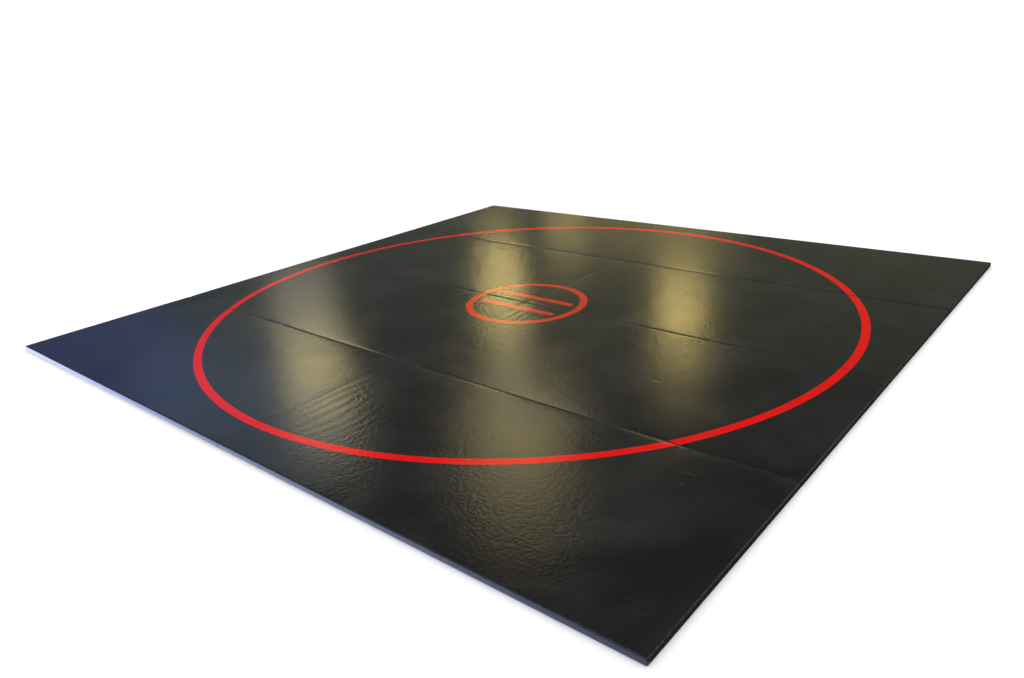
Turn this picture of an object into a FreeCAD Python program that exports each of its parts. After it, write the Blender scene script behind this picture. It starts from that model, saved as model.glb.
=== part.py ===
import FreeCAD, Part
import os

# A square folding wrestling mat. Four strips lie side by side, each as long as the mat. Every strip is
# a left and a right half, joined along its mid-length by a fabric web, so it folds in two with its
# painted face inside. Hook tape on one strip grips loop tape on the next.
#
# Millimetres, +Z up. The origin is at the centre of the underside. +X runs along the strips and
# +Y runs across them, from strip 1 at the front to strip 4 at the back.

V = FreeCAD.Vector
INCH = 25.4
FOOT = 12 * INCH

# whole mat
MAT_SIDE = 16 * FOOT
THICKNESS = 1.25 * INCH
STRIPS = 4
STRIP_PITCH = MAT_SIDE / STRIPS
HALF_SIDE = MAT_SIDE / 2

# vinyl covers
VINYL = 1.0
EDGE_RADIUS = 7.0
CORNER_RADIUS = 8.0

# fold between the two halves of a strip
FOLD_GAP = 3.0
WEB_WIDTH = 50.0
WEB_THICKNESS = 0.8
WEB_INSET = 12.0

# hook and loop tape between strips
TAPE_WIDTH = 20.0
TAPE_THICKNESS = 2.0
TAPE_CLEARANCE = 0.4
TAPE_CENTRE_Z = 13.0
TAPE_INSET = 30.0
JOIN_GAP = 2 * TAPE_THICKNESS + TAPE_CLEARANCE

# painted marks, measured to the middle of their bands
PAINT = 0.3
BAND = 2 * INCH
RING_RADIUS = 7.25 * FOOT
CIRCLE_RADIUS = 16 * INCH
LINE_LENGTH = 25 * INCH
LINE_OFFSET = 4.4 * INCH


def box(low, high):
    """A box between two corners."""
    size = [b - a for a, b in zip(low, high)]
    return Part.makeBox(*size, V(*low))


def panel_limits(strip, side):
    """Footprint of one half strip, as x0, y0, x1, y1."""
    front = -HALF_SIDE + (strip - 1) * STRIP_PITCH
    back = front + STRIP_PITCH
    if strip > 1:
        front += JOIN_GAP / 2
    if strip < STRIPS:
        back -= JOIN_GAP / 2
    if side == "left":
        return -HALF_SIDE, front, -FOLD_GAP / 2, back
    return FOLD_GAP / 2, front, HALF_SIDE, back


def rounded_slab(limits, bottom, top, inset):
    """A slab with rounded top edges and corners, set in from the cover's outer faces."""
    x0, y0, x1, y1 = limits
    slab = box((x0 + inset, y0 + inset, bottom), (x1 - inset, y1 - inset, top))
    upright = [e for e in slab.Edges if abs(e.tangentAt(e.FirstParameter).z) > 0.9]
    slab = slab.makeFillet(CORNER_RADIUS - inset, upright)
    rim = [e for e in slab.Edges if e.BoundBox.ZMin > top - 0.01]
    return slab.makeFillet(EDGE_RADIUS - inset, rim)


def half_slab(limits, side, bottom, top, inset):
    """A rounded slab with a plain square face at the fold."""
    x0, y0, x1, y1 = limits
    past_fold = 4 * CORNER_RADIUS
    if side == "left":
        long = rounded_slab((x0, y0, x1 + past_fold, y1), bottom, top, inset)
        keep = box((x0, y0, bottom), (x1 - inset, y1, top))
    else:
        long = rounded_slab((x0 - past_fold, y0, x1, y1), bottom, top, inset)
        keep = box((x0 + inset, y0, bottom), (x1, y1, top))
    return long.common(keep)


def fold_web(strip):
    """The fabric strip under the top covers that bridges the fold."""
    _, y0, _, y1 = panel_limits(strip, "left")
    top = THICKNESS - VINYL
    low = (-WEB_WIDTH / 2, y0 + WEB_INSET, top - WEB_THICKNESS)
    high = (WEB_WIDTH / 2, y1 - WEB_INSET, top)
    return box(low, high)


def foam_core(strip, side):
    """The closed-cell foam slab, rebated at the fold to take the web."""
    core = half_slab(panel_limits(strip, side), side, VINYL, THICKNESS - VINYL, VINYL)
    return core.cut(fold_web(strip))


def top_cover(strip, side):
    """The vinyl tray over the foam: the top face and the four sides."""
    limits = panel_limits(strip, side)
    outside = half_slab(limits, side, VINYL, THICKNESS, 0)
    inside = half_slab(limits, side, VINYL, THICKNESS - VINYL, VINYL)
    return outside.cut(inside).cut(fold_web(strip))


def under_cover(strip, side):
    """The flat non-slip sheet under the foam, welded to the foot of the sides."""
    x0, y0, x1, y1 = panel_limits(strip, side)
    sheet = box((x0, y0, 0), (x1, y1, VINYL))
    outer_x = x0 if side == "left" else x1
    upright = [e for e in sheet.Edges if e.BoundBox.ZLength > VINYL / 2]
    outer = [e for e in upright if abs(e.BoundBox.XMin - outer_x) < 1]
    return sheet.makeFillet(CORNER_RADIUS, outer)


def tape(strip, side, face):
    """Tape on a strip's back face (towards +Y) or front face (towards -Y)."""
    x0, y0, x1, y1 = panel_limits(strip, side)
    if face == "back":
        near, far = y1, y1 + TAPE_THICKNESS
    else:
        near, far = y0 - TAPE_THICKNESS, y0
    low = (x0 + TAPE_INSET, near, TAPE_CENTRE_Z - TAPE_WIDTH / 2)
    high = (x1 - TAPE_INSET, far, TAPE_CENTRE_Z + TAPE_WIDTH / 2)
    return box(low, high)


def flat_top(strip, side):
    """The space just above the flat part of a half strip's top, where paint can lie."""
    x0, y0, x1, y1 = panel_limits(strip, side)
    if side == "left":
        x0 += EDGE_RADIUS
    else:
        x1 -= EDGE_RADIUS
    low = (x0, y0 + EDGE_RADIUS, THICKNESS)
    high = (x1, y1 - EDGE_RADIUS, THICKNESS + PAINT)
    return box(low, high)


def painted_circle(radius, strip, side):
    """The part of a painted circle that falls on one half strip."""
    base = V(0, 0, THICKNESS)
    outer = Part.makeCylinder(radius + BAND / 2, PAINT, base)
    inner = Part.makeCylinder(radius - BAND / 2, PAINT, base)
    return outer.cut(inner).common(flat_top(strip, side))


def start_line(strip, side):
    """Half of a starting line, on the strip in front of or behind the mat's centre."""
    offset = LINE_OFFSET if strip > STRIPS / 2 else -LINE_OFFSET
    low = (-LINE_LENGTH / 2, offset - BAND / 2, THICKNESS)
    high = (LINE_LENGTH / 2, offset + BAND / 2, THICKNESS + PAINT)
    return box(low, high).common(flat_top(strip, side))


def half_strip(strip, side):
    """Every piece of one half strip, by node name."""
    tail = f"{strip}_{side}"
    pieces = {
        f"foam_core_{tail}": foam_core(strip, side),
        f"top_cover_{tail}": top_cover(strip, side),
        f"under_cover_{tail}": under_cover(strip, side),
        f"ring_mark_{tail}": painted_circle(RING_RADIUS, strip, side),
    }
    if strip < STRIPS:
        pieces[f"hook_tape_{tail}"] = tape(strip, side, "back")
    if strip > 1:
        pieces[f"loop_tape_{tail}"] = tape(strip, side, "front")
    if strip in (STRIPS // 2, STRIPS // 2 + 1):
        pieces[f"circle_mark_{tail}"] = painted_circle(CIRCLE_RADIUS, strip, side)
        pieces[f"start_line_{tail}"] = start_line(strip, side)
    return pieces


def mat():
    """Every node of the mat, by name."""
    nodes = {}
    for strip in range(1, STRIPS + 1):
        nodes[f"fold_web_{strip}"] = fold_web(strip)
        for side in ("left", "right"):
            nodes.update(half_strip(strip, side))
    return nodes


os.makedirs("parts", exist_ok=True)
for name, shape in mat().items():
    shape.exportStep(f"parts/{name}.step")
    size = shape.BoundBox
    print(f"{name}: {size.XLength:.1f} x {size.YLength:.1f} x {size.ZLength:.2f} mm,"
          f" {shape.Volume / 1e6:.3f} l, solids {len(shape.Solids)}, valid {shape.isValid()}")
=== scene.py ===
# %% [markdown]
# # A folding wrestling mat
# The mat is sixteen feet square: four strips side by side, each a left and a right half that fold
# together along a crease. Every half is a foam slab in a glossy black vinyl cover, with red rings and
# starting lines painted across the joins. The CAD frame fixes where everything is, so the first step
# loads it and keeps its box. Sizes further down are read from the frame and not typed in again.

# %% Load the frame
import math

import bmesh
import bpy
import numpy as np
from mathutils import Matrix, Vector


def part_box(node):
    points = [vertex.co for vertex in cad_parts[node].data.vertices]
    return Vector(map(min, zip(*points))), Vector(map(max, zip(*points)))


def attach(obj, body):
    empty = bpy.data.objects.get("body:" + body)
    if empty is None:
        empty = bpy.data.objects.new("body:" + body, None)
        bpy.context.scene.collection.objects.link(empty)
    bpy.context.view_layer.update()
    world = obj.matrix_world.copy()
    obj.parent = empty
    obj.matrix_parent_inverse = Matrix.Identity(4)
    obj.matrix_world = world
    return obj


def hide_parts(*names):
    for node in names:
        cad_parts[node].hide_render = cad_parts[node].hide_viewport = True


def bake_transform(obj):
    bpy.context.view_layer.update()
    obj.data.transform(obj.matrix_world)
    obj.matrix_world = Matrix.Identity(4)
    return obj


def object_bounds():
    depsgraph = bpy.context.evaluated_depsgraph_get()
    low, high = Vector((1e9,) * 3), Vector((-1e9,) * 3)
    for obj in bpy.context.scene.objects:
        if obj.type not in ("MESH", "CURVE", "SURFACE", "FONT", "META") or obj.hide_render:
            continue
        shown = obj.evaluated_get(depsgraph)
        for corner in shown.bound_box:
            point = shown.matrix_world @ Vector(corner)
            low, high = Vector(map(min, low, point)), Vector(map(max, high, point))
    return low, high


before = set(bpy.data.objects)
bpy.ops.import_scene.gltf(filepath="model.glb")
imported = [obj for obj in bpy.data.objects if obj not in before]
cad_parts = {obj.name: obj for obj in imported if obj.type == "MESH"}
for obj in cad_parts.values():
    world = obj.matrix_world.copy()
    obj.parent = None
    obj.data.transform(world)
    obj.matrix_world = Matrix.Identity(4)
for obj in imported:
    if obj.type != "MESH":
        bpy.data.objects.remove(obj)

cad_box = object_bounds()
SIDES = ("left", "right")
STRIPS = (1, 2, 3, 4)
panels = [(strip, side) for strip in STRIPS for side in SIDES]
mat_side = cad_box[1].x - cad_box[0].x
mat_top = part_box("top_cover_1_left")[1].z
print(f"mat {mat_side:.3f} m square, vinyl top at {mat_top * 1000:.2f} mm, {len(panels)} half strips")

# %% [markdown]
# ## The camera
# Someone of ordinary height stands off the front right corner and looks across the mat to the far
# left. The place is given in mat sides from the centre, so it still holds if the mat's size changes.
# A lens a little wider than normal takes in all four corners, and a small roll tips the far edge.

# %% Place the camera
EYE_IN_SIDES = Vector((0.6994, -0.8360, 0.3694))
LOOK = Vector((-0.61363, 0.70090, -0.36346)).normalized()
ROLL = math.radians(3.71)
LENS_MM = 27.77
SENSOR_MM = 36

eye_data = bpy.data.cameras.new("eye")
eye_data.lens = LENS_MM
eye_data.sensor_width = SENSOR_MM
eye = bpy.data.objects.new("eye", eye_data)
bpy.context.scene.collection.objects.link(eye)
bpy.context.scene.camera = eye
level_right = LOOK.cross(Vector((0, 0, 1))).normalized()
level_up = level_right.cross(LOOK)
right_axis = level_right * math.cos(ROLL) - level_up * math.sin(ROLL)
up_axis = right_axis.cross(LOOK)
turn = Matrix((right_axis, up_axis, -LOOK)).transposed()
eye_place = EYE_IN_SIDES * mat_side + Vector((0, 0, mat_top))
eye.matrix_world = Matrix.Translation(eye_place) @ turn.to_4x4()
print(f"eye at {eye_place.z:.2f} m above the floor")

# %% [markdown]
# ## Small helpers for materials
# Materials here are trees of nodes built in code. A socket takes either a plain value or another
# node's output, so one helper sets both and the rest build on it: a node by its kind, a sum, a mix of
# two colours, and a ramp from one range to another.

# %% Node helpers
def set_socket(tree, socket, value):
    """Gives a socket a value, or joins another node's output to it."""
    if isinstance(value, bpy.types.NodeSocket):
        tree.links.new(value, socket)
    else:
        socket.default_value = value


def add_node(tree, kind, settings=None, **sockets):
    """A node with its settings, and its sockets set by name (spaces written as underscores)."""
    node = tree.nodes.new(kind)
    for key, value in (settings or {}).items():
        setattr(node, key, value)
    for key, value in sockets.items():
        set_socket(tree, node.inputs[key.replace("_", " ")], value)
    return node


def math_node(tree, operation, *values, clamp=False):
    """The output of a Math node."""
    node = add_node(tree, "ShaderNodeMath", {"operation": operation, "use_clamp": clamp})
    for socket, value in zip(node.inputs, values):
        set_socket(tree, socket, value)
    return node.outputs[0]


def mix_colours(tree, share, first, second):
    """The output of a Mix node that goes from one colour to another."""
    node = add_node(tree, "ShaderNodeMix", {"data_type": "RGBA"})
    for number, value in ((0, share), (6, first), (7, second)):
        set_socket(tree, node.inputs[number], value)
    return node.outputs[2]


def ramp(tree, value, settings=None, **limits):
    """The output of a Map Range node."""
    return add_node(tree, "ShaderNodeMapRange", settings, Value=value, **limits).outputs["Result"]


print("node helpers ready")

# %% [markdown]
# A material starts empty. The floor and the air both end in a choice between two shaders. A group is
# a small tree of its own that several materials share, and its sockets here are plain numbers.
# Textures are sized in metres by what they show, such as a lump, and not by a scale.

# %% Material and group helpers
def new_material(name):
    """A material with an empty node tree, and that tree."""
    material = bpy.data.materials.new(name)
    material.use_nodes = True
    material.node_tree.nodes.clear()
    return material, material.node_tree


def end_tree(tree, shader, kind):
    """Ends a tree with a shader."""
    tree.links.new(shader.outputs[0], tree.nodes.new(kind).inputs[0])


def end_in_choice(tree, share, first, second, kind):
    """Ends a tree with a mix of two shaders."""
    pick = tree.nodes.new("ShaderNodeMixShader")
    for socket, value in zip(pick.inputs, (share, first.outputs[0], second.outputs[0])):
        tree.links.new(value, socket)
    end_tree(tree, pick, kind)


def object_place(tree):
    """The place of the point being shaded, in metres."""
    return tree.nodes.new("ShaderNodeTexCoord").outputs["Object"]


def texture(tree, kind, place, size, settings=None, **sockets):
    """A texture whose features are of a given size."""
    per_metre = math_node(tree, "DIVIDE", 1.0, size)
    return add_node(tree, kind, settings, Vector=place, Scale=per_metre, **sockets)


def new_group(name, outputs, **inputs):
    """A group with its sockets: its tree, what it is given and what it has to fill."""
    tree = bpy.data.node_groups.new(name, "ShaderNodeTree")
    for label, value in inputs.items():
        label = label.replace("_", " ")
        socket = tree.interface.new_socket(label, in_out="INPUT", socket_type="NodeSocketFloat")
        socket.default_value = value
    for label in outputs:
        tree.interface.new_socket(label, in_out="OUTPUT", socket_type="NodeSocketFloat")
    return tree, tree.nodes.new("NodeGroupInput").outputs, tree.nodes.new("NodeGroupOutput").inputs


def use_group(tree, group, **sockets):
    """Places a group in a tree."""
    return add_node(tree, "ShaderNodeGroup", {"node_tree": group}, **sockets)


print("group helpers ready")

# %% [markdown]
# ## Floor
# The mat lies on a plain white floor. A glossy mat mirrors what is round it, and a floor that was
# white in the gloss too would turn its black sides grey. So the Light Path node tells an eye's ray
# from a mirrored one: mirrored, the floor is a dim hall floor with a pool of daylight before the
# front edge, brightest at its left end. The floor isn't part of the mat.

# %% Make the floor
FLOOR_REACH = 150.0
FLOOR_DROP = 0.0003
FLOOR_WHITE = (0.93, 0.93, 0.93, 1)
HALL_FLOOR = (0.030, 0.030, 0.032, 1)
POOL = (2.9, 3.4, 5.6, 1)
POOL_EDGE = 0.03
POOL_FADE = {"To_Min": 1.0, "To_Max": 0.42}
POOL_CURVE = 1.5

floor_stuff, tree = new_material("studio_floor")
axes = add_node(tree, "ShaderNodeSeparateXYZ", Vector=object_place(tree)).outputs
before_front = math_node(tree, "SUBTRACT", cad_box[0].y + POOL_EDGE, axes["Y"])
before_front = math_node(tree, "DIVIDE", before_front, POOL_EDGE, clamp=True)
left_of_corner = math_node(tree, "SUBTRACT", cad_box[1].x + POOL_EDGE, axes["X"])
left_of_corner = math_node(tree, "DIVIDE", left_of_corner, POOL_EDGE, clamp=True)
in_pool = math_node(tree, "MULTIPLY", before_front, left_of_corner)
to_right = ramp(tree, axes["X"], From_Min=cad_box[0].x, From_Max=cad_box[1].x, **POOL_FADE)
in_pool = math_node(tree, "MULTIPLY", in_pool, math_node(tree, "POWER", to_right, POOL_CURVE))
mirrored = add_node(tree, "ShaderNodeEmission", Color=mix_colours(tree, in_pool, HALL_FLOOR, POOL))
seen = add_node(tree, "ShaderNodeBsdfDiffuse", Color=FLOOR_WHITE)
path = tree.nodes.new("ShaderNodeLightPath")
end_in_choice(tree, path.outputs["Is Glossy Ray"], seen, mirrored, "ShaderNodeOutputMaterial")

floor_mesh = bpy.data.meshes.new("studio_floor")
square = ((-1, -1), (1, -1), (1, 1), (-1, 1))
corners = [(x * FLOOR_REACH, y * FLOOR_REACH, -FLOOR_DROP) for x, y in square]
floor_mesh.from_pydata(corners, [], [(0, 1, 2, 3)])
floor_mesh.materials.append(floor_stuff)
floor = bpy.data.objects.new("studio_floor", floor_mesh)
bpy.context.scene.collection.objects.link(floor)
print(f"floor {2 * FLOOR_REACH:.0f} m wide")

# %% [markdown]
# ## Air
# The air works the same way: white to the eye, and a dim hall in the gloss, warmer on the right than
# on the left and darker overhead than at eye level. The plain view transform keeps white as white and
# the paint a clean red.

# %% Make the air
HALL_RIGHT = (0.150, 0.163, 0.105, 1)
HALL_LEFT = (0.100, 0.118, 0.118, 1)
HALL_ROOF = (0.028, 0.030, 0.055, 1)
LEFT_FADE = {"From_Min": 0.35, "From_Max": 0.95}
ROOF_FADE = {"From_Min": 0.25, "From_Max": 0.60}

world = bpy.data.worlds.new("studio_air")
bpy.context.scene.world = world
world.use_nodes = True
tree = world.node_tree
tree.nodes.clear()
heading = tree.nodes.new("ShaderNodeTexCoord").outputs["Generated"]
axes = add_node(tree, "ShaderNodeSeparateXYZ", Vector=heading).outputs
smooth = {"interpolation_type": "SMOOTHSTEP"}
leftness = ramp(tree, math_node(tree, "MULTIPLY", axes["X"], -1.0), smooth, **LEFT_FADE)
upness = ramp(tree, axes["Z"], smooth, **ROOF_FADE)
wall = mix_colours(tree, leftness, HALL_RIGHT, HALL_LEFT)
room = mix_colours(tree, upness, wall, HALL_ROOF)
hall = add_node(tree, "ShaderNodeBackground", Color=room, Strength=1.0)
air = add_node(tree, "ShaderNodeBackground", Color=(1, 1, 1, 1), Strength=1.0)
path = tree.nodes.new("ShaderNodeLightPath")
end_in_choice(tree, path.outputs["Is Camera Ray"], hall, air, "ShaderNodeOutputWorld")
bpy.context.scene.view_settings.view_transform = "Standard"
print("air ready")

# %% [markdown]
# ## Lights
# One broad soft light overhead whitens the floor and draws the short shadow round the mat. It lights
# only matt colour, not the gloss. The warm streaks on the vinyl are mirrored windows at the far end
# of a hall, so each is a lamp far away that shows in the gloss alone. What matters is the way from the
# mat to the lamp, so a lamp is placed by its heading and its height in degrees.

# %% Lamp helpers
FAR = 20.0


def add_light(name, kind, colour, energy):
    """A light of one kind, linked to the scene."""
    data = bpy.data.lights.new(name, kind)
    data.color = colour
    data.energy = energy
    item = bpy.data.objects.new(name, data)
    bpy.context.scene.collection.objects.link(item)
    return item


def hall_lamp(name, heading, height, size, glow, colour):
    """A far lamp seen only in the gloss: its heading, height and size are in degrees from the mat."""
    level, rise = math.radians(heading), math.radians(height)
    way = Vector((math.cos(level) * math.cos(rise), math.sin(level) * math.cos(rise), math.sin(rise)))
    wide, tall = (2 * FAR * math.tan(math.radians(angle) / 2) for angle in size)
    item = add_light(name, "AREA", colour, glow * math.pi * wide * tall)
    item.data.shape = "ELLIPSE"
    item.data.size = wide
    item.data.size_y = tall
    item.location = way * FAR
    item.rotation_euler = (-way).to_track_quat("-Z", "Y").to_euler()
    item.visible_camera = False
    item.visible_diffuse = False


print("lamp helpers ready")

# %% [markdown]
# Each lamp is a name, a heading, a height, a size in degrees, a glow and a colour. A tall streak is
# several of them stacked, as a real window is brighter in one part than in the next. Three more
# windows on the other sides do the same for someone who walks round the mat.

# %% Place the lights
OVERHEAD = 3.55
OVERHEAD_SPREAD = math.radians(150)
GOLD = (1.0, 0.77, 0.25)
WARM = (1.0, 0.83, 0.38)
PALE = (1.0, 0.97, 0.80)
SKY = (0.45, 0.66, 1.0)
DAYLIGHT = (0.04, 0.20, 1.0)
LAMPS = (
    ("far_window", 132.2, 17.2, (4, 2.5), 7.6, GOLD),
    ("far_window_head", 132.2, 19.4, (4, 2.2), 1.0, WARM),
    ("far_upper_window", 132.2, 22.5, (4, 4.0), 1.1, WARM),
    ("far_upper_head", 132.2, 26.3, (4, 3.6), 0.6, PALE),
    ("far_skylight", 131.5, 30.5, (11, 5), 2.1, WARM),
    ("far_skylight_head", 132.0, 36.5, (9, 7), 1.1, WARM),
    ("right_window", 115.0, 17.8, (4.6, 2.6), 1.3, GOLD),
    ("right_window_head", 115.0, 20.8, (4.4, 2.8), 6.6, GOLD),
    ("right_upper_window", 115.0, 25.5, (5, 7.0), 0.3, WARM),
    ("left_window_foot", 151.0, 17.0, (6, 6.0), 0.6, PALE),
    ("left_window", 151.0, 21.2, (6, 2.4), 2.5, WARM),
    ("left_window_head", 151.0, 23.7, (6, 2.6), 3.4, GOLD),
    ("left_upper_window", 151.0, 27.0, (6, 4.0), 1.8, PALE),
    ("far_wall", 118.5, 12.2, (18, 3), 0.6, GOLD),
    ("far_wall_end", 126.0, 12.2, (4.4, 2.6), 1.3, GOLD),
    ("doorway", 170.0, 19.0, (18, 14), 0.24, DAYLIGHT),
    ("doorway_glow", 160.0, 26.0, (16, 14), 0.34, SKY),
)
OTHER_WINDOWS = (("near_window", 315.0), ("side_window_left", 222.0), ("side_window_right", 48.0))

overhead = add_light("overhead", "SUN", (1, 1, 1), OVERHEAD)
overhead.data.angle = OVERHEAD_SPREAD
overhead.visible_glossy = False
for lamp in LAMPS:
    hall_lamp(*lamp)
for name, heading in OTHER_WINDOWS:
    hall_lamp(name, heading, 19.0, (7, 9), 2.2, PALE)
    hall_lamp(name + "_glow", heading + 6, 24.0, (22, 20), 0.35, PALE)

# %% [markdown]
# ## How the vinyl lies
# A vinyl skin over foam is never dead flat. The floor gives it slow swells, the skin pulls on the foam
# at each edge, ridges run beside the crease, and feet leave shallow dents. Gloss shows all of this as
# bent reflections, so it is modelled as a height for every point. A displacement texture could do the
# same, but the painted marks have to follow the same surface, and a function of x and y serves both.

# %% The outline of a half strip and its waves
def panel_box(strip, side):
    """The lowest and highest corner of one half strip."""
    low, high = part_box(f"under_cover_{strip}_{side}")
    return low, Vector((high.x, high.y, mat_top))


def waves(seed, count, longest, shortest, x, y):
    """A seeded sum of plain waves, between -1 and 1, with lengths from shortest to longest."""
    random = np.random.default_rng(seed)
    lengths = np.exp(random.uniform(np.log(shortest), np.log(longest), count))
    headings = random.uniform(0, 2 * np.pi, count)
    starts = random.uniform(0, 2 * np.pi, count)
    total = 0.0
    for length, heading, start in zip(lengths, headings, starts):
        along = x * np.cos(heading) + y * np.sin(heading)
        total += length / lengths.sum() * np.cos(2 * np.pi * along / length + start)
    return total


print("one half strip is", [round(v, 3) for v in panel_box(1, "left")[1] - panel_box(1, "left")[0]], "m")

# %% [markdown]
# The slow shapes come first: the swell of the whole strip, a little settling under its own weight, and
# the long joined edges, which sink at one seam and stand proud at another where the tape pulls them up.
# Close to a seam the skin falls away in a narrow lip, which catches the light as a thin line.
# The rim and the crease sink a little too. Both halves of a strip share one seed, so the skin meets
# itself at the crease.

# %% Swells and edges
SEAM_ROLL = 0.0045
SWELL = 0.00045
SETTLE = 0.0008
EDGE_RISE = {0: -0.0004, 1: -0.0018, 2: 0.0014, 3: -0.0004, 4: -0.0004}
EDGE_REACH = {0: 0.05, 1: 0.12, 2: 0.12, 3: 0.085, 4: 0.05}
RIM_RISE, RIM_REACH = -0.0004, 0.05
FOLD_RISE, FOLD_REACH = -0.0005, 0.025
LIP_FALL, LIP_REACH = -0.0007, 0.011


def lift(distance, rise, reach):
    """How far the skin stands up or sinks at a distance from an edge."""
    return rise * np.exp(-distance / reach)


def slow_shape(strip, side, x, y):
    """The skin's swell, its settling, and its rise or fall towards the edges."""
    low, high = panel_box(strip, side)
    height = SWELL * waves(strip, 8, 1.9, 0.45, x, y) - SETTLE
    height += lift(y - low.y, EDGE_RISE[strip - 1], EDGE_REACH[strip - 1])
    height += lift(high.y - y, EDGE_RISE[strip], EDGE_REACH[strip])
    if strip > 1:
        height += lift(y - low.y - SEAM_ROLL, LIP_FALL, LIP_REACH)
    if strip < 4:
        height += lift(high.y - y - SEAM_ROLL, LIP_FALL, LIP_REACH)
    height += lift(mat_side / 2 - np.abs(x), RIM_RISE, RIM_REACH)
    return height + lift(np.abs(x), FOLD_RISE, FOLD_REACH)


sample_x, sample_y = np.meshgrid(np.linspace(-2.4, 2.4, 200), np.linspace(-2.4, -1.25, 60))
sample = slow_shape(1, "right", sample_x, sample_y)
print(f"slow shape of strip 1: {sample.min() * 1000:.2f} to {sample.max() * 1000:.2f} mm")

# %% [markdown]
# The quick shapes lie on top. Folding leaves ridges that run along the crease and die away from it,
# strongest in one patch of each strip. The long seams gather the skin into short puckers, and small
# buckles and dents cover the rest in patches.

# %% Ridges, puckers, buckles and dents
RIDGE = {1: 0.00036, 2: 0.00024, 3: 0.00022, 4: 0.00022}
RIDGE_LENGTH, RIDGE_REACH = 0.062, 0.34
RIDGE_PATCH = {1: (-0.10, 0.34), 2: (0.25, 0.20), 3: (-0.10, 0.22), 4: (0.20, 0.22)}
PUCKER, PUCKER_LENGTH, PUCKER_REACH = 0.00016, 0.12, 0.05
BUCKLE = 0.00010
PATCH_MEAN, PATCH_SWING = 0.45, 1.3
DENTS, DENT_DEPTH = 9, 0.00045
DENT_MARGIN = 0.1
DENT_REACH = (0.02, 0.06)
WEAK_SIDE = 0.35
RIDGE_WARP, PUCKER_WARP = 1.1, 0.9


def ridges(strip, side, x, y):
    """Ridges along the crease, warped so that no two are alike."""
    low, high = panel_box(strip, side)
    centre, spread = RIDGE_PATCH[strip]
    from_patch = (y - (low.y + high.y) / 2) / (high.y - low.y) - centre
    patch = np.exp(-((from_patch / spread) ** 2)) * (1.0 if side == "right" else WEAK_SIDE)
    warp = RIDGE_WARP * waves(strip + 40, 9, 1.3, 0.16, x, y)
    fade = np.exp(-np.abs(x) / RIDGE_REACH)
    return RIDGE[strip] * patch * fade * np.cos(2 * np.pi * (np.abs(x) / RIDGE_LENGTH + warp))


def puckers(strip, side, x, y):
    """Short gathers where the skin is pulled over a long seam."""
    low, high = panel_box(strip, side)
    to_seam = np.minimum(y - low.y, high.y - y)
    warp = PUCKER_WARP * waves(strip + 60, 5, 0.9, 0.2, x, y)
    return PUCKER * np.exp(-to_seam / PUCKER_REACH) * np.cos(2 * np.pi * (x / PUCKER_LENGTH + warp))


def buckles(strip, x, y):
    """Small buckles that come and go in patches."""
    patch = np.clip(PATCH_MEAN + PATCH_SWING * waves(strip + 80, 6, 1.3, 0.4, x, y), 0, 1)
    return BUCKLE * patch * waves(strip + 90, 16, 0.13, 0.05, x, y)


def dents(strip, side, x, y):
    """Shallow dents left by feet and knees."""
    low, high = panel_box(strip, side)
    random = np.random.default_rng(strip * 10 + len(side))
    total = 0.0
    for _ in range(DENTS):
        cx = random.uniform(low.x + DENT_MARGIN, high.x - DENT_MARGIN)
        cy = random.uniform(low.y + DENT_MARGIN, high.y - DENT_MARGIN)
        reach = random.uniform(*DENT_REACH)
        depth = DENT_DEPTH * random.uniform(0.3, 1.0)
        total -= depth * np.exp(-((x - cx) ** 2 + (y - cy) ** 2) / (2 * reach * reach))
    return total


def relief(strip, side, x, y):
    """Height of the skin above its flat level, in metres."""
    quick = ridges(strip, side, x, y) + puckers(strip, side, x, y)
    return slow_shape(strip, side, x, y) + quick + buckles(strip, x, y) + dents(strip, side, x, y)


sample = relief(1, "right", sample_x, sample_y)
print(f"relief of strip 1: {sample.min() * 1000:.2f} to {sample.max() * 1000:.2f} mm")

# %% [markdown]
# ## How the edges roll over
# The skin turns down over the foam with a different radius at the rim, the long seams and the crease.
# The marks are printed over that roll too, so its drop is part of the height function.

# %% The rolled edges
RIM_ROLL, FOLD_ROLL = 0.007, 0.0014
STEEPEST = 0.985


def rolls(strip, side):
    """The radius of the roll at each edge: x low, x high, y low, y high."""
    x_rolls = (RIM_ROLL, FOLD_ROLL) if side == "left" else (FOLD_ROLL, RIM_ROLL)
    return (*x_rolls, RIM_ROLL if strip == 1 else SEAM_ROLL, RIM_ROLL if strip == 4 else SEAM_ROLL)


def roll_drop(distance, radius):
    """How far a rolled edge has fallen at a distance in from the face."""
    past = np.clip(radius - distance, 0, radius * STEEPEST)
    return radius - np.sqrt(radius * radius - past * past)


def skin_height(strip, side, x, y):
    """Height of the skin at a point, with its edges rolled over."""
    low, high = panel_box(strip, side)
    x_low, x_high, y_low, y_high = rolls(strip, side)
    drop = roll_drop(x - low.x, x_low) + roll_drop(high.x - x, x_high)
    drop += roll_drop(y - low.y, y_low) + roll_drop(high.y - y, y_high)
    return mat_top + relief(strip, side, x, y) - drop


edge = skin_height(2, "left", np.array([-1.0]), np.array([panel_box(2, "left")[0].y + 0.001]))[0]
print(f"1 mm in from a seam the skin is {1000 * (mat_top - edge):.1f} mm down")

# %% [markdown]
# ## Vinyl grain
# Mat vinyl has a fine leather grain: small rounded cells with creases between them. One group makes
# it for both the black skin and the red paint, which is too thin to fill it. Voronoi distance gives
# the cells, and a little noise bends them so that they don't look like tiles.

# %% Grain group
BEND_COARSER, FINE_FINER, FINE_SHARE = 0.35, 2.6, 0.25

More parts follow.
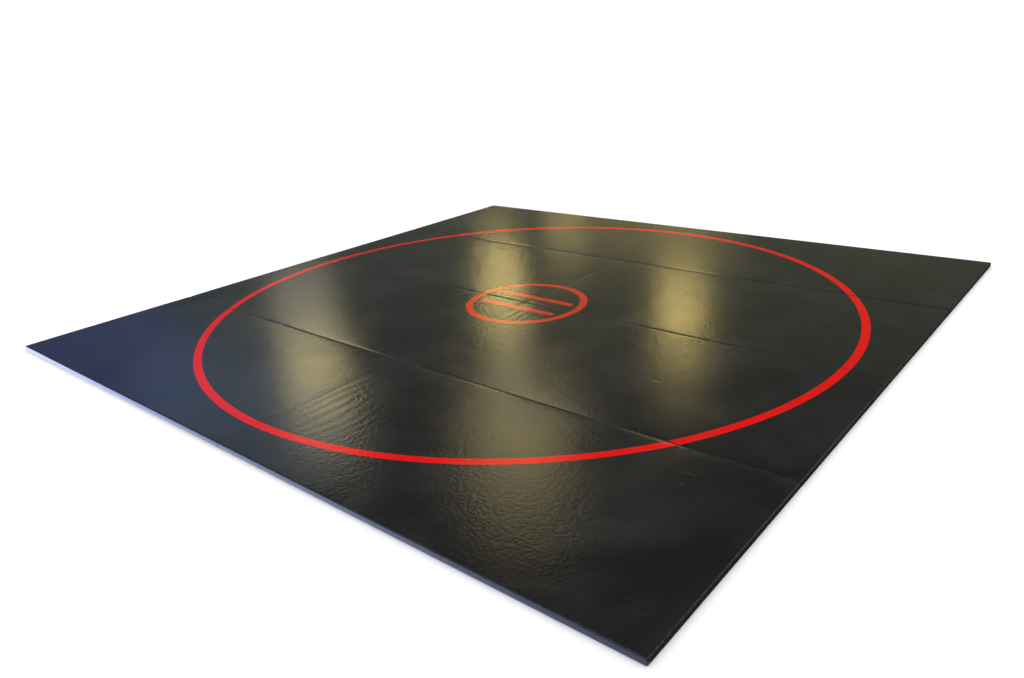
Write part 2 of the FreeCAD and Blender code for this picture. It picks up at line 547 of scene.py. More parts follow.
grain, given, filled = new_group("vinyl_grain", ["Height"], Cell_Size=0.004, Irregularity=0.6)
place = object_place(grain)
per_metre = math_node(grain, "DIVIDE", 1.0, given["Cell Size"])
coarse = math_node(grain, "MULTIPLY", per_metre, BEND_COARSER)
bend = add_node(grain, "ShaderNodeTexNoise", Vector=place, Scale=coarse, Detail=2.0)
bend_by = math_node(grain, "MULTIPLY", given["Irregularity"], given["Cell Size"])
bent = add_node(grain, "ShaderNodeVectorMath", {"operation": "MULTIPLY_ADD"})
for socket, value in zip(bent.inputs, (bend.outputs["Color"], bend_by, place)):
    grain.links.new(value, socket)
cells = add_node(grain, "ShaderNodeTexVoronoi", {"feature": "SMOOTH_F1"}, Smoothness=0.35,
                 Vector=bent.outputs[0], Scale=per_metre)
domed = math_node(grain, "SUBTRACT", 1.0, cells.outputs["Distance"])
finer = math_node(grain, "MULTIPLY", per_metre, FINE_FINER)
fine = add_node(grain, "ShaderNodeTexNoise", Vector=place, Scale=finer, Detail=3.0)
fine_part = math_node(grain, "MULTIPLY", fine.outputs["Fac"], FINE_SHARE)
grain.links.new(math_node(grain, "ADD", domed, fine_part), filled["Height"])
print("group", grain.name)

# %% [markdown]
# ## Slack skin
# Between the modelled swells and the grain lies a middle scale: the skin's own slackness, lumps the
# size of a coin. They are too shallow to be worth a mesh, and show only as mottling in a reflection.
# Patches of stronger and weaker slack keep it from looking even.

# %% Slackness group
slack, given, filled = new_group("skin_slack", ["Height"], Lump_Size=0.019, Patch_Size=0.8)
place = object_place(slack)
lumps = texture(slack, "ShaderNodeTexNoise", place, given["Lump Size"], Detail=1.5, Roughness=0.55)
patches = texture(slack, "ShaderNodeTexNoise", place, given["Patch Size"], Detail=1.0)
strength = ramp(slack, patches.outputs["Fac"], From_Min=0.35, From_Max=0.65, To_Min=0.35, To_Max=1.0)
centred = math_node(slack, "SUBTRACT", lumps.outputs["Fac"], 0.5)
slack.links.new(math_node(slack, "MULTIPLY", centred, strength), filled["Height"])
print("group", slack.name)

# %% [markdown]
# ## Wear, dust and a painted edge highlight
# Shoes scuff a mat and dust settles on it. The group gives masks that any finish can use in its own
# way: broad smudges where feet turn, and thin scuffs at three angles. A third, the rub, is written on
# the mesh along the rolled edges, and the group makes it uneven. It is partly real rubbing where the
# skin is handled most and partly a painted highlight, lightest on the crest of each roll.

# %% Wear and painted edge highlight group
SCUFF_HEADINGS = (0.35, 1.45, 2.5)
SCUFF_STRETCH = 14

wear_and_highlight, given, filled = new_group(
    "foot_wear_and_edge_highlight", ["Smudges", "Scuffs", "Rubbed"], Smudge_Size=0.5, Scuff_Size=0.22, Rub=0.0)
place = object_place(wear_and_highlight)
smudge = texture(wear_and_highlight, "ShaderNodeTexNoise", place, given["Smudge Size"],
                 Detail=6.0, Roughness=0.6, Distortion=0.6)
wear_and_highlight.links.new(ramp(wear_and_highlight, smudge.outputs["Fac"], From_Min=0.42, From_Max=0.72), filled["Smudges"])
scuffs = 0.0
for angle in SCUFF_HEADINGS:
    aim = add_node(wear_and_highlight, "ShaderNodeMapping", Vector=place, Rotation=(0, 0, angle),
                   Scale=(1, SCUFF_STRETCH, 1))
    streak = texture(wear_and_highlight, "ShaderNodeTexNoise", aim.outputs["Vector"], given["Scuff Size"], Detail=1.0)
    thin = ramp(wear_and_highlight, streak.outputs["Fac"], From_Min=0.76, From_Max=0.84)
    scuffs = math_node(wear_and_highlight, "MAXIMUM", scuffs, thin)
wear_and_highlight.links.new(scuffs, filled["Scuffs"])
speckle = add_node(wear_and_highlight, "ShaderNodeTexNoise", Vector=place, Scale=60.0, Detail=4.0)
uneven = ramp(wear_and_highlight, speckle.outputs["Fac"], From_Min=0.3, From_Max=0.7, To_Min=0.3, To_Max=1.0)
wear_and_highlight.links.new(math_node(wear_and_highlight, "MULTIPLY", given["Rub"], uneven, clamp=True), filled["Rubbed"])
print("group", wear_and_highlight.name)

# %% [markdown]
# ## Black vinyl and red paint
# The skin and the paint are one kind of finish in two colours, so one function builds both: a
# Principled shader with the grain and the slack as bumps, wear that lightens the colour a touch and
# dulls the gloss, and a plain, nearly mirror-smooth base. The same lighter colour, led by the rub,
# also paints a highlight along each rolled edge. The middle marks are a little more orange than the
# big ring, as if from another tin, so they have a paint of their own.

# %% Skin finishes
GRAIN_DEPTH, SLACK_DEPTH = 0.00008, 0.0008
WEAR_AND_HIGHLIGHT_SHARES = {"Scuffs": 0.6, "Smudges": 0.28, "Rubbed": 0.7}


def skin_finish(name, colour, dust_and_highlight, rough, dull, shine):
    """A glossy vinyl finish: its clean colour, its lighter colour for dust that also paints the edge
    highlight, its clean and dulled roughness, its shine.
    """
    material, tree = new_material(name)
    # The rub mask is partly real rubbing and partly a painted highlight along the crest of each rolled
    # edge; both lighten the colour.
    rub_and_highlight = add_node(tree, "ShaderNodeAttribute", {"attribute_name": "rub_and_highlight"})
    marks = use_group(tree, wear_and_highlight, Rub=rub_and_highlight.outputs["Fac"])
    worn_and_highlit = 0.0
    for mask, share in WEAR_AND_HIGHLIGHT_SHARES.items():
        worn_and_highlit = math_node(tree, "MULTIPLY_ADD", marks.outputs[mask], share, worn_and_highlit)
    worn_and_highlit = math_node(tree, "MINIMUM", worn_and_highlit, 1.0)
    lumps = use_group(tree, slack).outputs["Height"]
    lumpy = add_node(tree, "ShaderNodeBump", Strength=1.0, Distance=SLACK_DEPTH, Height=lumps)
    cells = use_group(tree, grain).outputs["Height"]
    grained = add_node(tree, "ShaderNodeBump", Strength=1.0, Distance=GRAIN_DEPTH, Height=cells,
                       Normal=lumpy.outputs["Normal"])
    shader = add_node(tree, "ShaderNodeBsdfPrincipled", Specular_IOR_Level=shine,
                      Base_Color=mix_colours(tree, worn_and_highlit, colour, dust_and_highlight),
                      Roughness=ramp(tree, worn_and_highlit, To_Min=rough, To_Max=dull),
                      Normal=grained.outputs["Normal"])
    end_tree(tree, shader, "ShaderNodeOutputMaterial")
    return material


black_vinyl = skin_finish(
    "black_vinyl", (0.009, 0.009, 0.009, 1), (0.042, 0.042, 0.040, 1), 0.175, 0.32, 0.5)
red_paint = skin_finish(
    "red_paint", (0.64, 0.0003, 0.0001, 1), (0.58, 0.006, 0.003, 1), 0.17, 0.32, 0.20)
circle_paint = skin_finish(
    "circle_paint", (0.47, 0.024, 0.0012, 1), (0.42, 0.030, 0.008, 1), 0.16, 0.32, 0.34)
print(black_vinyl.name, red_paint.name, circle_paint.name)

# %% [markdown]
# ## The hidden finishes
# Five more finishes show when the mat is folded or its strips are parted: the matt non-slip sheet
# underneath, closed-cell foam, hook tape, loop tape and the woven web in the crease. Each is matt, so
# one function takes a height group and does the rest. The non-slip dots and the hooks are both rows
# of small studs, which a group of studs gives at any pitch.

# %% Stud, cell, pile and weave groups
studs, given, filled = new_group("studs", ["Height"], Pitch=0.004, Size=0.35)
dots = texture(studs, "ShaderNodeTexVoronoi", object_place(studs), given["Pitch"], Randomness=0.12)
over = math_node(studs, "DIVIDE", dots.outputs["Distance"], given["Size"])
studs.links.new(math_node(studs, "SUBTRACT", 1.0, over, clamp=True), filled["Height"])

pores, given, filled = new_group("foam_pores", ["Height"], Pore_Size=0.0016)
bubble = texture(pores, "ShaderNodeTexVoronoi", object_place(pores), given["Pore Size"],
                 {"feature": "DISTANCE_TO_EDGE"})
pores.links.new(math_node(pores, "SUBTRACT", 1.0, bubble.outputs["Distance"]), filled["Height"])

pile, given, filled = new_group("loop_pile", ["Height"], Loop_Size=0.0009)
fuzz = texture(pile, "ShaderNodeTexNoise", object_place(pile), given["Loop Size"],
               Detail=5.0, Roughness=0.7, Distortion=2.5)
pile.links.new(fuzz.outputs["Fac"], filled["Height"])

weave, given, filled = new_group("plain_weave", ["Height"], Thread=0.0011)
axes = add_node(weave, "ShaderNodeSeparateXYZ", Vector=object_place(weave)).outputs
turns = math_node(weave, "DIVIDE", math.pi, given["Thread"])
across = math_node(weave, "SINE", math_node(weave, "MULTIPLY", axes["X"], turns))
along = math_node(weave, "SINE", math_node(weave, "MULTIPLY", axes["Y"], turns))
crossed = math_node(weave, "MULTIPLY", across, along)
weave.links.new(math_node(weave, "MULTIPLY_ADD", crossed, 0.5, 0.5), filled["Height"])
print("groups", studs.name, pores.name, pile.name, weave.name)

# %% [markdown]
# The matt finishes differ only in colour, group, depth and roughness. Loop pile and webbing also have
# a fuzz of loose fibre, which the sheen of the Principled shader gives.

# %% Matt finishes
SMUDGE_SHARE = 0.5
SMUDGE_DULLS = 0.2


def matt_finish(name, low_colour, high_colour, rough, group, depth, sheen=0.0):
    """A matt finish whose colour and bump both follow one height group."""
    material, tree = new_material(name)
    surface = use_group(tree, group).outputs["Height"]
    smudges = use_group(tree, wear_and_highlight).outputs["Smudges"]
    mixed = math_node(tree, "MULTIPLY_ADD", smudges, SMUDGE_SHARE, surface)
    mixed = math_node(tree, "MINIMUM", mixed, 1.0)
    bump = add_node(tree, "ShaderNodeBump", Strength=1.0, Distance=depth, Height=surface)
    shader = add_node(tree, "ShaderNodeBsdfPrincipled", Sheen_Weight=sheen, Sheen_Roughness=0.5,
                      Base_Color=mix_colours(tree, mixed, low_colour, high_colour),
                      Roughness=ramp(tree, smudges, To_Min=rough, To_Max=min(1.0, rough + SMUDGE_DULLS)),
                      Normal=bump.outputs["Normal"])
    end_tree(tree, shader, "ShaderNodeOutputMaterial")
    return material


nonslip = matt_finish(
    "underside_vinyl", (0.012, 0.012, 0.013, 1), (0.030, 0.030, 0.031, 1), 0.60, studs, 0.0003)
foam_stuff = matt_finish(
    "foam", (0.060, 0.062, 0.068, 1), (0.095, 0.097, 0.105, 1), 0.80, pores, 0.0002)
hook_stuff = matt_finish(
    "hook_tape", (0.008, 0.008, 0.008, 1), (0.040, 0.040, 0.040, 1), 0.45, studs, 0.0006)
loop_stuff = matt_finish(
    "loop_tape", (0.008, 0.008, 0.009, 1), (0.035, 0.035, 0.036, 1), 0.80, pile, 0.0008, 0.4)
web_stuff = matt_finish(
    "web_fabric", (0.010, 0.010, 0.010, 1), (0.030, 0.030, 0.030, 1), 0.70, weave, 0.0003, 0.2)
print("matt finishes:", nonslip.name, foam_stuff.name, hook_stuff.name, loop_stuff.name, web_stuff.name)

# %% [markdown]
# ## The padded form
# The cover is a shallow vinyl tray turned under the foam and welded to the underside sheet. It could
# be a box with a bevel, but a bevel gives every edge the same radius, and here the crease, the seams
# and the rim differ. So the top is a grid, and its border is drawn again and again as rings: over the
# roll, down the side, under the foot, and in for the hem. The foam slab inside is the same form, a
# skin's thickness smaller.

# %% Rings round a grid
CORNER_STEPS = 4
ROLL_STEPS = 5
FOOT_ROLL = 0.0025
FOOT_STEPS = 3
HEM = 0.030
HEM_THICK = 0.0012
BULGES = ((0.020, 0.0003), (0.012, 0.0004), (0.005, 0.0002))
WALL_RUB, FOOT_RUB, HEM_RUB = 0.15, 0.6, 0.3


def border(nx, ny):
    """A grid's border points in order, with the way that each faces; at a corner the way fans out."""
    quarter = math.pi / 2
    runs = [
        ([(i, 0) for i in range(nx)], -quarter),
        ([(nx - 1, j) for j in range(ny)], 0.0),
        ([(i, ny - 1) for i in reversed(range(nx))], quarter),
        ([(0, j) for j in reversed(range(ny))], 2 * quarter),
    ]
    index, facing = [], []
    for points, way in runs:
        index += [i * ny + j for i, j in points]
        facing += [way] * len(points)
        index += [index[-1]] * (CORNER_STEPS - 1)
        facing += [way + quarter * step / CORNER_STEPS for step in range(1, CORNER_STEPS)]
    return np.array(index), np.array(facing)


def wall_levels(hem):
    """Each ring below the roll, as its inset from the face, its height and how much handling lightens it.
    """
    levels = [(-bulge, height, WALL_RUB) for height, bulge in BULGES]
    for step in range(FOOT_STEPS + 1):
        angle = math.pi / 2 * step / FOOT_STEPS
        levels.append((FOOT_ROLL * (1 - math.cos(angle)), FOOT_ROLL * (1 - math.sin(angle)), FOOT_RUB))
    if hem:
        levels += [(HEM - HEM_THICK, 0.0, HEM_RUB), (HEM, HEM_THICK / 3, HEM_RUB), (HEM, HEM_THICK, 0.0)]
    return levels


print(len(wall_levels(True)) + ROLL_STEPS, "rings to a cover")

# %% [markdown]
# The pieces below are built from grids and rings of points. Four helpers space the points out, join
# them with quads, and turn the result into an object.

# %% Mesh helpers
SHARP = math.radians(40)


def spaced(start, end, step):
    """Evenly spaced values from start to end, about step apart."""
    return np.linspace(start, end, max(2, round((end - start) / step) + 1))


def grid_quads(shape):
    """The number of every point in a grid, and the quads between them."""
    corner = np.arange(shape[0] * shape[1]).reshape(shape)
    quads = np.stack([corner[:-1, :-1], corner[1:, :-1], corner[1:, 1:], corner[:-1, 1:]], -1)
    return corner, quads.reshape(-1, 4)


def mesh_from(shape, name):
    """A mesh from an edited shape, which is then let go."""
    mesh = bpy.data.meshes.new(name)
    shape.to_mesh(mesh)
    shape.free()
    return mesh


def link_mesh(name, mesh, *materials, sharp=False):
    """A smooth-shaded object made from a mesh, with its steep edges kept sharp if wanted."""
    mesh.shade_smooth()
    if sharp:
        mesh.set_sharp_from_angle(angle=SHARP)
    for material in materials:
        mesh.materials.append(material)
    item = bpy.data.objects.new(name, mesh)
    bpy.context.scene.collection.objects.link(item)
    return item


print("mesh helpers ready")

# %% [markdown]
# The rings and the grid are joined by quads, and doubled points at the corners are merged. The rub
# attribute is written here too, because the rings know where the edges are. Over the roll it rises to
# the crest, where it paints a highlight as well as marking rubbed vinyl.

# %% Build a padded form
EXTRA_LINES = np.array([0.0025, 0.006, 0.017])
WELD = 1e-6
# Rub on a rolled edge, most at its crest: real rubbing plus a painted highlight where light catches the
# roll.
ROLL_RUB_AND_HIGHLIGHT, CREST_RUB_AND_HIGHLIGHT = 0.4, 0.6


def grid_lines(low, high, step):
    """Grid lines about step apart, with a few extra close to both ends."""
    return np.unique(np.concatenate([spaced(low, high, step), low + EXTRA_LINES, high - EXTRA_LINES]))


def ring_faces(before, now):
    """Quads between two rings, and triangles where the upper ring has the same point twice."""
    rows = zip(before, now, np.roll(now, -1), np.roll(before, -1))
    return [(a, b, c) if a == d else (a, b, c, d) for a, b, c, d in rows]


def padded_form(name, strip, side, material, step, skin=0.0, hem=True):
    """A closed form with a relief on top, rolled edges and straight sides, a skin inside the faces."""
    low, high = panel_box(strip, side)
    x_low, x_high, y_low, y_high = rolls(strip, side)
    xs = grid_lines(low.x + x_low, high.x - x_high, step)
    ys = grid_lines(low.y + y_low, high.y - y_high, step)
    x, y = np.meshgrid(xs, ys, indexing="ij")
    rise = relief(strip, side, x, y).ravel()
    top = mat_top - skin
    points = [np.stack([x.ravel(), y.ravel(), top + rise], 1)]
    rub_and_highlight = [np.zeros(x.size)]
    faces = grid_quads(x.shape)[1].tolist()

    index, facing = border(*x.shape)
    out_x, out_y = np.cos(facing), np.sin(facing)
    reach_x = np.where(out_x > 0, x_high, x_low) - skin
    reach_y = np.where(out_y > 0, y_high, y_low) - skin
    fall = reach_x * out_x ** 2 + reach_y * out_y ** 2
    start, ring_rise, before, count = points[0][index], rise[index], index, x.size

    def add_ring(ring, rubbed_and_highlit):
        nonlocal before, count
        now = count + np.arange(len(index))
        faces.extend(ring_faces(before, now))
        points.append(ring)
        rub_and_highlight.append(np.full(len(index), rubbed_and_highlit))
        before = now
        count += len(index)

    for number in range(1, ROLL_STEPS + 1):
        angle = math.pi / 2 * number / ROLL_STEPS
        along, down = math.sin(angle), 1 - math.cos(angle)
        height = top + ring_rise * (1 - down) - fall * down
        flat = start[:, :2] + along * np.stack([reach_x * out_x, reach_y * out_y], 1)
        add_ring(np.column_stack([flat, height]), ROLL_RUB_AND_HIGHLIGHT + CREST_RUB_AND_HIGHLIGHT * math.sin(2 * angle))
    for inset, height, rubbed_and_highlit in wall_levels(hem):
        ring_x = np.clip(start[:, 0] + (reach_x - inset) * out_x, low.x + inset, high.x - inset)
        ring_y = np.clip(start[:, 1] + (reach_y - inset) * out_y, low.y + inset, high.y - inset)
        add_ring(np.stack([ring_x, ring_y, np.full(len(index), max(height, skin))], 1), rubbed_and_highlit)
    faces.append(tuple(reversed(before.tolist())))

    mesh = bpy.data.meshes.new(name)
    mesh.from_pydata(np.concatenate(points).tolist(), [], faces)
    rubbed_and_highlit = mesh.attributes.new("rub_and_highlight", "FLOAT", "POINT")
    rubbed_and_highlit.data.foreach_set("value", np.concatenate(rub_and_highlight).astype(np.float32))
    shape = bmesh.new()
    shape.from_mesh(mesh)
    bmesh.ops.remove_doubles(shape, verts=shape.verts, dist=WELD)
    shape.to_mesh(mesh)
    shape.free()
    return link_mesh(name, mesh, material)


print("padded form ready")

# %% [markdown]
# ## Covers and foam
# Each half strip gets its cover, drawn finely because its gloss shows every bend, and a foam slab that
# can be coarse because nothing shows of it. The cover is a tight pad, filled to the full.

# %% Make the covers and the foam
COVER_STEP = 0.011
FOAM_STEP = 0.060
SKIN = 0.0012

for strip, side in panels:
    tail, body = f"{strip}_{side}", f"strip_{strip}_{side}"
    cover = padded_form(f"cover_{tail}", strip, side, black_vinyl, COVER_STEP)
    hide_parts(f"top_cover_{tail}")
    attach(cover, body)
    slab = padded_form(f"foam_slab_{tail}", strip, side, foam_stuff, FOAM_STEP, skin=SKIN, hem=False)
    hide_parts(f"foam_core_{tail}")
    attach(slab, body)
print(f"covers of {len(cover.data.polygons)} faces, slabs of {len(slab.data.polygons)}")

# %% [markdown]
# ## The non-slip sheets
# Under each half a matt sheet fills the space inside the hem. It is cut to size and welded all round,
# so it is stretched flat. The weld shows as a low bead just inside its edge, so the sheet is a thin
# slab whose lower face has that bead drawn as rings.

# %% Make the underside sheets
SHEET_GAP = 0.0006
SHEET_THICK = 0.0009
BEAD_PROFILE = ((0.0, 0.0002), (0.003, 0.0), (0.006, 0.0004), (0.010, 0.0002))
SHEET_STEP = 0.08


def underside_sheet(name, strip, side, material):
    """A thin closed sheet inside the hem, with a weld bead round its lower face."""
    low, high = panel_box(strip, side)
    edge = HEM + SHEET_GAP
    nx, ny = (round((high[axis] - low[axis]) / SHEET_STEP) for axis in (0, 1))
    shape = bmesh.new()

    def loop(inset, height):
        xs = np.linspace(low.x + edge + inset, high.x - edge - inset, nx)
        ys = np.linspace(low.y + edge + inset, high.y - edge - inset, ny)
        way = [(v, ys[0]) for v in xs[:-1]] + [(xs[-1], v) for v in ys[:-1]]
        way += [(v, ys[-1]) for v in xs[:0:-1]] + [(xs[0], v) for v in ys[:0:-1]]
        return [shape.verts.new((a, b, height)) for a, b in way]

    loops = [loop(0.0, SHEET_THICK)] + [loop(inset, height) for inset, height in BEAD_PROFILE]
    shape.faces.new(loops[0])
    for outer, inner in zip(loops, loops[1:]):
        for k in range(len(outer)):
            n = (k + 1) % len(outer)
            shape.faces.new((outer[k], inner[k], inner[n], outer[n]))
    shape.faces.new(list(reversed(loops[-1])))
    bmesh.ops.recalc_face_normals(shape, faces=shape.faces)
    return link_mesh(name, mesh_from(shape, name), material, sharp=True)


for strip, side in panels:
    tail = f"{strip}_{side}"
    sheet = underside_sheet(f"underside_{tail}", strip, side, nonslip)
    low, high = panel_box(strip, side)
    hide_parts(f"under_cover_{tail}")
    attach(sheet, f"strip_{tail}")

# %% [markdown]
# ## The painted marks
# The marks are vinyl ink a fraction of a millimetre thick. Each starts as a flat band, keeps only the
# quads near its half strip, is cut at that half's faces, and is then laid on the skin point by point,
# over the rolled edges too. Extra cuts across the roll give it points to bend at.

# %% Lay a mark on the skin
FILM = 0.0003
FILM_ROOT = 0.0004
ROLL_CUTS = (0.06, 0.2, 0.45, 0.7, 1.0)
NORMAL_STEP = 0.0002


def cut_to_panel(shape, strip, side):
    """Trims a flat mark at a half strip's faces and cuts it where the skin starts to roll."""
    low, high = panel_box(strip, side)
    x_low, x_high, y_low, y_high = rolls(strip, side)
    edges = [(Vector((1, 0, 0)), low.x, x_low), (Vector((-1, 0, 0)), high.x, x_high),
             (Vector((0, 1, 0)), low.y, y_low), (Vector((0, -1, 0)), high.y, y_high)]
    for inward, face, roll in edges:
        for share in ROLL_CUTS:
            at = inward * (face * (inward.x + inward.y) + roll * share)
            everything = shape.verts[:] + shape.edges[:] + shape.faces[:]
            trim = share == ROLL_CUTS[0]
            bmesh.ops.bisect_plane(
                shape, geom=everything, plane_co=at, plane_no=-inward, clear_outer=trim, dist=WELD)


def skin_points(strip, side, x, y, off):
    """Points that stand a little way off the skin, along its normal."""
    centre = skin_height(strip, side, x, y)
    slope_x = (skin_height(strip, side, x + NORMAL_STEP, y) - centre) / NORMAL_STEP
    slope_y = (skin_height(strip, side, x, y + NORMAL_STEP) - centre) / NORMAL_STEP
    normal = np.stack([-slope_x, -slope_y, np.ones_like(centre)], 1)
    normal /= np.linalg.norm(normal, axis=1)[:, None]
    return np.stack([x, y, centre], 1) + normal * off


def lay_mark(name, shape, strip, side, material):
    """Lays a flat mark on the skin and gives it the ink's thickness."""
    cut_to_panel(shape, strip, side)
    flat = np.array([v.co[:2] for v in shape.verts])
    above = skin_points(strip, side, flat[:, 0], flat[:, 1], FILM)
    for vertex, point in zip(shape.verts, above):
        vertex.co = point
    bmesh.ops.recalc_face_normals(shape, faces=shape.faces)
    grown = bmesh.ops.extrude_face_region(shape, geom=shape.faces[:])
    for vertex in [part for part in grown["geom"] if isinstance(part, bmesh.types.BMVert)]:
        vertex.co.z -= FILM + FILM_ROOT
    bmesh.ops.recalc_face_normals(shape, faces=shape.faces)
    return link_mesh(name, mesh_from(shape, name), material, sharp=True)


print("marks ready")

# %% [markdown]
# Two flat shapes make every mark: a ring band and a bar. The edges of a hand-masked band wander by
# half a millimetre, which a few slow waves round the circle give.

# %% Flat bands and bars
MARK_STEP = 0.012
ACROSS = 6
NEAR = 0.06
WANDER = 0.0007


def wander(radius, share, angle):
    """How far a band's edge strays at an angle; share is -1 at the inner edge and 1 at the outer."""
    stray = sum(np.cos(k * angle * 3 + k * k + share) / k for k in (1, 2, 3, 5))
    return share * WANDER * min(1.0, radius) * stray


def flat_band(radius, width, strip, side):
    """The quads of a flat ring that lie on or near one half strip."""
    low, high = panel_box(strip, side)
    around = round(2 * math.pi * radius / MARK_STEP)
    shape = bmesh.new()
    made = {}

    def corner(i, k):
        key = (i % around, k)
        if key not in made:
            angle, share = 2 * math.pi * key[0] / around, 2 * k / ACROSS - 1
            r = radius + width / 2 * share + wander(radius, share, angle)
            made[key] = shape.verts.new((r * math.cos(angle), r * math.sin(angle), 0))
        return made[key]

    for i in range(around):
        angle = 2 * math.pi * (i + 0.5) / around
        x, y = radius * math.cos(angle), radius * math.sin(angle)
        if low.x - NEAR < x < high.x + NEAR and low.y - NEAR < y < high.y + NEAR:
            for k in range(ACROSS):
                shape.faces.new((corner(i, k), corner(i, k + 1), corner(i + 1, k + 1), corner(i + 1, k)))
    return shape


def flat_bar(low, high):
    """A flat grid of quads between two corners."""
    xs, ys = spaced(low.x, high.x, MARK_STEP), spaced(low.y, high.y, MARK_STEP / 2)
    shape = bmesh.new()
    rows = [[shape.verts.new((x, y, 0)) for y in ys] for x in xs]
    for row, following in zip(rows, rows[1:]):
        for j in range(len(ys) - 1):
            shape.faces.new((row[j], following[j], following[j + 1], row[j + 1]))
    return shape


print("flat shapes ready")

# %% [markdown]
# The big ring touches all eight halves, and the middle circle and the two starting lines only the
# inner four. Their radii and widths come from the CAD marks they stand for.

# %% Make the marks
OVERRUN = Vector((0.01, 0, 0))
line_low, line_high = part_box("start_line_2_left")
band = line_high.y - line_low.y
ring_radius = -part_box("ring_mark_1_left")[0].y - band / 2
circle_radius = -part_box("circle_mark_2_left")[0].x - band / 2


def place_mark(name, shape, strip, side, node, paint):
    """Lays a mark in place of its CAD one and lets it ride on its half strip."""
    item = lay_mark(name, shape, strip, side, paint)
    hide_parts(node)
    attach(item, f"strip_{strip}_{side}")


for strip, side in panels:
    tail = f"{strip}_{side}"
    ring = flat_band(ring_radius, band, strip, side)
    place_mark(f"big_ring_{tail}", ring, strip, side, f"ring_mark_{tail}", red_paint)
    if strip in (2, 3):
        circle = flat_band(circle_radius, band, strip, side)
        place_mark(f"centre_circle_{tail}", circle, strip, side, f"circle_mark_{tail}", circle_paint)
        low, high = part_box(f"start_line_{tail}")
        bar = flat_bar(low, high + OVERRUN) if side == "left" else flat_bar(low - OVERRUN, high)
        place_mark(f"line_{tail}", bar, strip, side, f"start_line_{tail}", circle_paint)
print(f"ring {2 * ring_radius:.3f} m across, circle {2 * circle_radius:.3f} m, band {band * 1000:.1f} mm")

# %% [markdown]
# ## The crease
# In the crease a narrow strip of the skin bridges the two halves, just below the top, and the marks
# run on across it. It bends when the half folds over, so it is drawn with many points across the gap.

# %% Make the creases
CREASE_HALF = 0.012
CREASE_DEPTH = 0.0008
CREASE_THICK = 0.0008
CREASE_ACROSS = (1.0, 0.6, 0.3, 0.125, 0.1, 0.075, 0.05, 0.025)
CREASE_STEP = 0.02
CREASE_INSET = 0.012
RING, WEB, CIRCLE = 1, 2, 3


def painted_spans(strip):
    """The stretches along a strip's crease that a mark crosses."""
    marks = [ring_radius, circle_radius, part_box("start_line_3_left")[1].y - band / 2]
    spans = [(way * r - band / 2, way * r + band / 2) for r in marks for way in (-1, 1)]
    low, high = panel_box(strip, "right")
    return [span for span in spans if low.y < span[0] and span[1] < high.y]


def crease(strip):
    """The bridging strip of one crease, painted where the marks cross it."""
    low, high = panel_box(strip, "right")
    spans = painted_spans(strip)
    ys = spaced(low.y + CREASE_INSET, high.y - CREASE_INSET, CREASE_STEP)
    ys = np.unique(np.concatenate([ys, np.array(spans).ravel()]))
    half = list(CREASE_ACROSS)
    xs = CREASE_HALF * np.array([-v for v in half] + [0.0] + half[::-1])
    x, y = np.meshgrid(xs, ys, indexing="ij")
    top = mat_top - CREASE_DEPTH + relief(strip, "right", np.zeros_like(x), y)
    upper = np.stack([x.ravel(), y.ravel(), top.ravel()], 1)
    lower = upper - (0, 0, CREASE_THICK)
    corner, quads = grid_quads(x.shape)
    rim = np.concatenate([corner[:, 0], corner[-1, 1:], corner[-2::-1, -1], corner[0, -2:0:-1]])
    sides = np.stack([rim, rim + x.size, np.roll(rim, -1) + x.size, np.roll(rim, -1)], 1)
    faces = quads.tolist() + (quads[:, ::-1] + x.size).tolist() + sides.tolist()
    mesh = bpy.data.meshes.new(f"crease_{strip}")
    mesh.from_pydata(np.concatenate([upper, lower]).tolist(), [], faces)
    for polygon in mesh.polygons:
        middle = polygon.center
        painted = any(start < middle.y < end for start, end in spans)
        if polygon.normal.z < -0.5:
            polygon.material_index = WEB
        elif painted and polygon.normal.z > 0.5:
            polygon.material_index = CIRCLE if abs(middle.y) < 2 * circle_radius else RING
    return link_mesh(f"crease_{strip}", mesh, black_vinyl, red_paint, web_stuff, circle_paint)


for strip in STRIPS:
    strap = crease(strip)
    low, high = panel_box(strip, "right")
    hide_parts(f"fold_web_{strip}")
    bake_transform(strap)
    print(strap.name, "has", len(painted_spans(strip)), "painted spans")

# %% [markdown]
# ## Hook and loop tape
# One strip's long face carries hook tape and the next one's loop tape, sewn on by their plain edges.
# A tape is a thin woven band with a thicker pile in the middle, so a short profile is run along it,
# and the pile's face is made a little uneven.

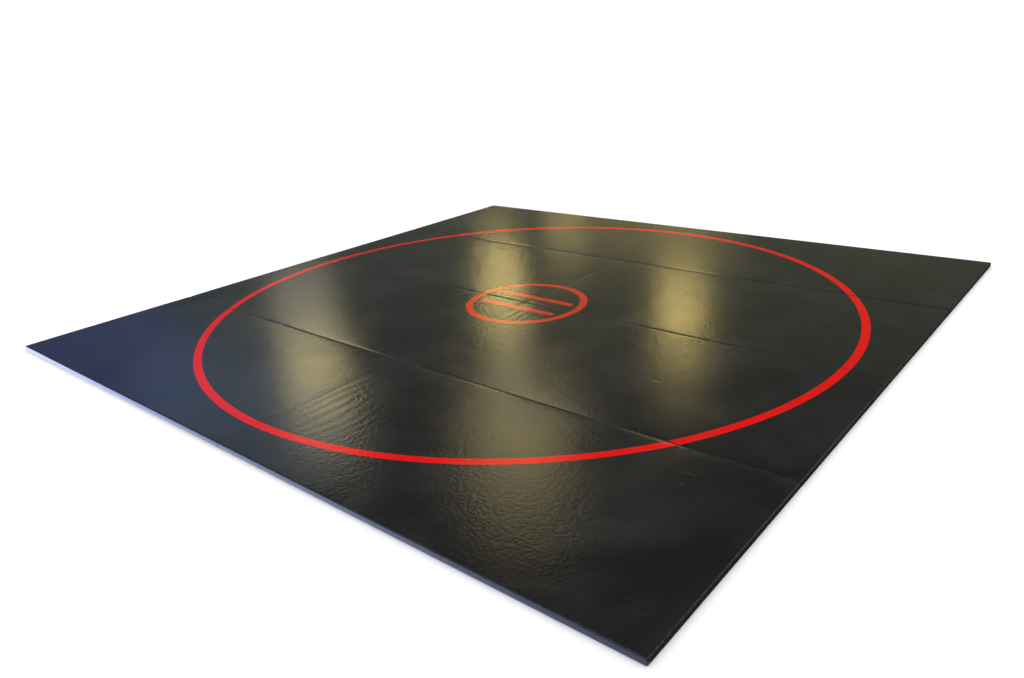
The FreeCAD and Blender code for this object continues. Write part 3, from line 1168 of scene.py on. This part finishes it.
# %% Make the tapes
SELVEDGE = 0.0016
BASE_SHARE = 0.35
TAPE_STEP = 0.010
PILE_UNEVEN = 0.00015
SHOULDER = 0.0004
PILE_EDGE = 0.9
STITCHED = 0.97
END_PULL = 0.7


def tape(node, stuff, outward):
    """A sewn tape with plain edges and a raised pile, in the space of its CAD box."""
    low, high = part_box(node)
    thick = high.y - low.y
    foot = low.y if outward > 0 else high.y
    half = (high.z - low.z) / 2
    inner = half - SELVEDGE
    upper_z = [half, half, half * STITCHED, inner, inner - SHOULDER, inner / 2]
    z = [-v for v in upper_z] + [0.0] + upper_z[::-1]
    edge_rise = [0.0, BASE_SHARE * 0.6, BASE_SHARE, BASE_SHARE, PILE_EDGE, 1.0]
    rise = edge_rise + [1.0] + edge_rise[::-1]
    xs = spaced(low.x, high.x, TAPE_STEP)
    random = np.random.default_rng(len(node) + int(1000 * abs(low.y)))
    uneven = random.uniform(-PILE_UNEVEN, 0, (len(xs), len(rise)))
    shape = bmesh.new()
    rows = []
    for i, x in enumerate(xs):
        pull = END_PULL if i in (0, len(xs) - 1) else 1.0
        row = []
        for k, share in enumerate(rise):
            stand = share * thick * pull + (uneven[i, k] if share >= PILE_EDGE else 0)
            row.append(shape.verts.new((x, foot + outward * stand, (low.z + high.z) / 2 + z[k])))
        rows.append(row)
    for row, following in zip(rows, rows[1:]):
        for k in range(len(rise)):
            n = (k + 1) % len(rise)
            shape.faces.new((row[k], following[k], following[n], row[n]))
    shape.faces.new(rows[0])
    shape.faces.new(list(reversed(rows[-1])))
    bmesh.ops.recalc_face_normals(shape, faces=shape.faces)
    name = node.replace("_tape_", "_strip_")
    return link_mesh(name, mesh_from(shape, name), stuff)


for strip, side in panels:
    for kind, stuff, outward in (("hook", hook_stuff, 1), ("loop", loop_stuff, -1)):
        node = f"{kind}_tape_{strip}_{side}"
        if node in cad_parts:
            piece = tape(node, stuff, outward)
            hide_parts(node)
            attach(piece, f"strip_{strip}_{side}")
print(f"tapes of {len(piece.data.polygons)} faces")
